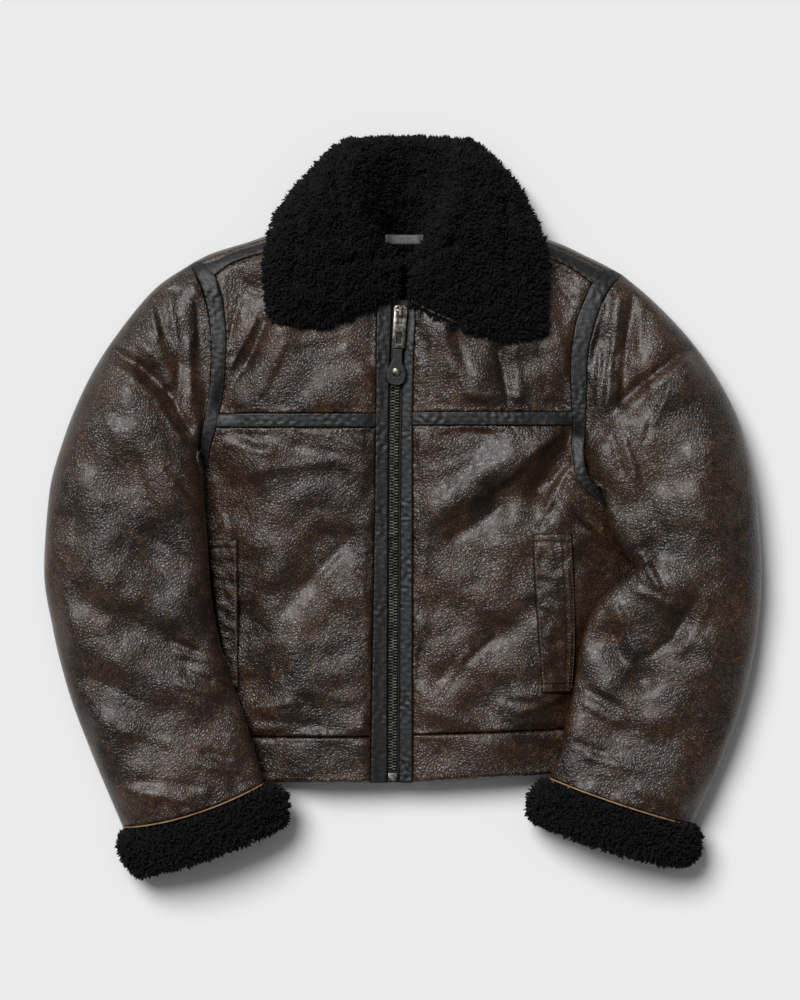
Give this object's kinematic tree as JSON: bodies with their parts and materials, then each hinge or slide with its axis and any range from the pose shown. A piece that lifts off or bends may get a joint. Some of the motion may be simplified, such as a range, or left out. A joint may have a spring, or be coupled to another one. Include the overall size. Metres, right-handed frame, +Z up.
{
  "type": "jacket",
  "caption": "Cropped sheepskin flight jacket of dark brown leather laid flat, with black curly collar and turned-up cuffs, black bindings, a metal front zip and slanted welt pockets",
  "frame": {"origin": "middle of the jacket's outline seen from above, at the height of the surface it lies on", "axes": "+Z is up off the surface, +Y runs from the hem to the collar, +X points to the jacket's own left sleeve, which is on the right as seen from above"},
  "size_m": [0.7545, 0.7838, 0.09],
  "materials": {
    "black_leather": "smooth",
    "brown_leather": "worn, pebbled and waxed",
    "wool": "curly sheepskin wool",
    "ribbon": "woven tape",
    "nickel": "antique nickel"
  },
  "bodies": {
    "jacket": {"armhole_binding_left": "black_leather", "armhole_binding_right": "black_leather", "back_panel": "brown_leather", "collar_back": "wool", "collar_left": "wool", "collar_right": "wool", "cuff_left": "wool", "cuff_right": "wool", "front_left": "brown_leather", "front_right": "brown_leather", "hanger_loop": "ribbon", "hem_back": "brown_leather", "hem_front_left": "brown_leather", "hem_front_right": "brown_leather", "neck_lining": "wool", "placket_left": "black_leather", "placket_right": "black_leather", "pocket_welt_left": "brown_leather", "pocket_welt_right": "brown_leather", "shoulder_binding_left": "black_leather", "shoulder_binding_right": "black_leather", "sleeve_top_left": "brown_leather", "sleeve_top_right": "brown_leather", "sleeve_under_left": "brown_leather", "sleeve_under_right": "brown_leather", "yoke_binding_left": "black_leather", "yoke_binding_right": "black_leather", "yoke_left": "brown_leather", "yoke_right": "brown_leather", "zip_box": "nickel", "zip_chain": "nickel", "zip_slider": "nickel", "zip_tape_left": "ribbon", "zip_tape_right": "ribbon"},
    "puller": {"zip_pull": "nickel", "zip_tab": "black_leather", "zip_rivet": "nickel"}
  },
  "joints": [
    {"name": "puller_hinge", "type": "hinge", "parent": "jacket", "child": "puller", "pos_m": [-0.00231, 0.20396, 0.06776], "axis": [-0.998, 0.0628, 0], "range_deg": [0, 110]}
  ]
}
